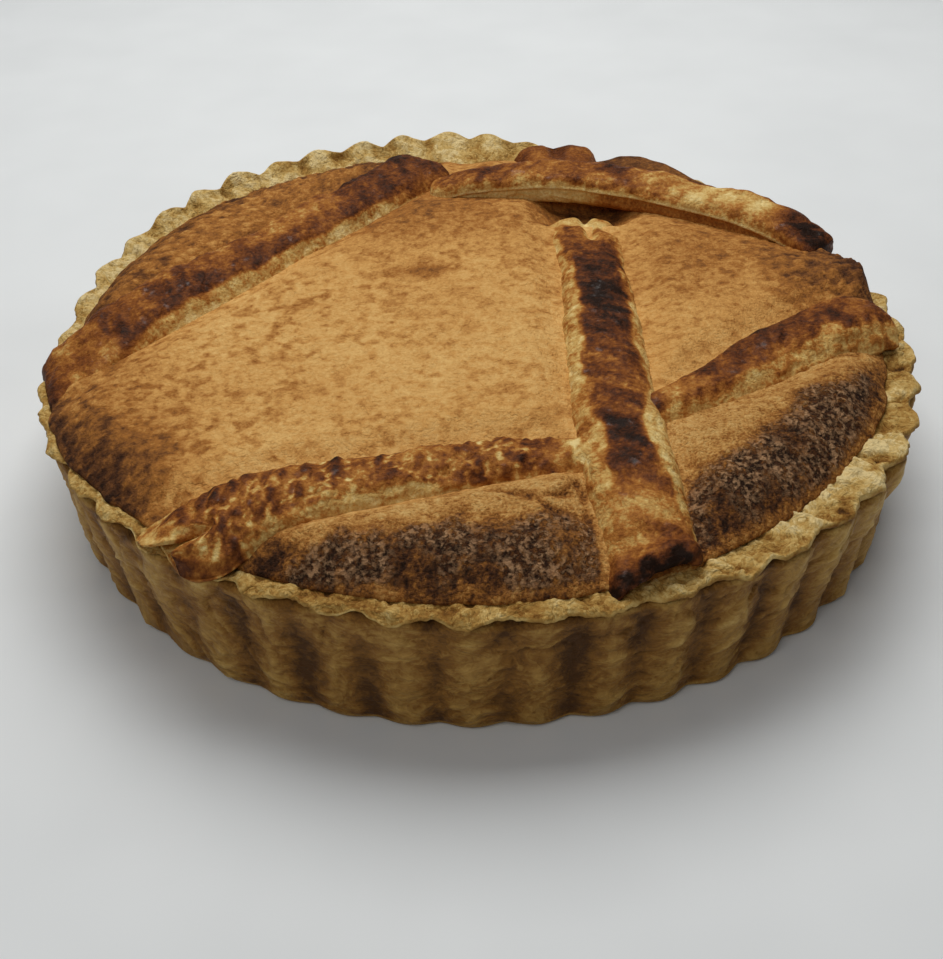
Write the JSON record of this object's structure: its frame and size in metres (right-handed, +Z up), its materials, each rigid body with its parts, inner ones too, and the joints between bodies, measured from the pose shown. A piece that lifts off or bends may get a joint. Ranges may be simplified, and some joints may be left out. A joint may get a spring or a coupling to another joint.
{
  "type": "frangipane tart",
  "caption": "Round baked almond tart in a fluted pastry case, its puffed golden-brown filling crossed by glazed flaky pastry strips laid unevenly over it.",
  "frame": {"origin": "middle of the flat underside of the case", "axes": "+Z up through the tart; the long strip runs along Y, its burnt end towards -Y; +X to the right of that view"},
  "size_m": [0.2396, 0.2404, 0.0523],
  "materials": {
    "pastry_case": "baked shortcrust, matt, pale tan with light browning",
    "frangipane": "baked almond cream, matt and granular, golden with dark brown edges",
    "glazed_strips": "egg-glazed flaky pastry, satin, dark brown on top and pale at the sides"
  },
  "bodies": {
    "root": {"pastry_case": "pastry_case", "frangipane_filling": "frangipane", "strip_back_left": "glazed_strips", "strip_long": "glazed_strips", "strip_back_right": "glazed_strips", "strip_right": "glazed_strips", "strip_front": "glazed_strips"}
  },
  "joints": []
}
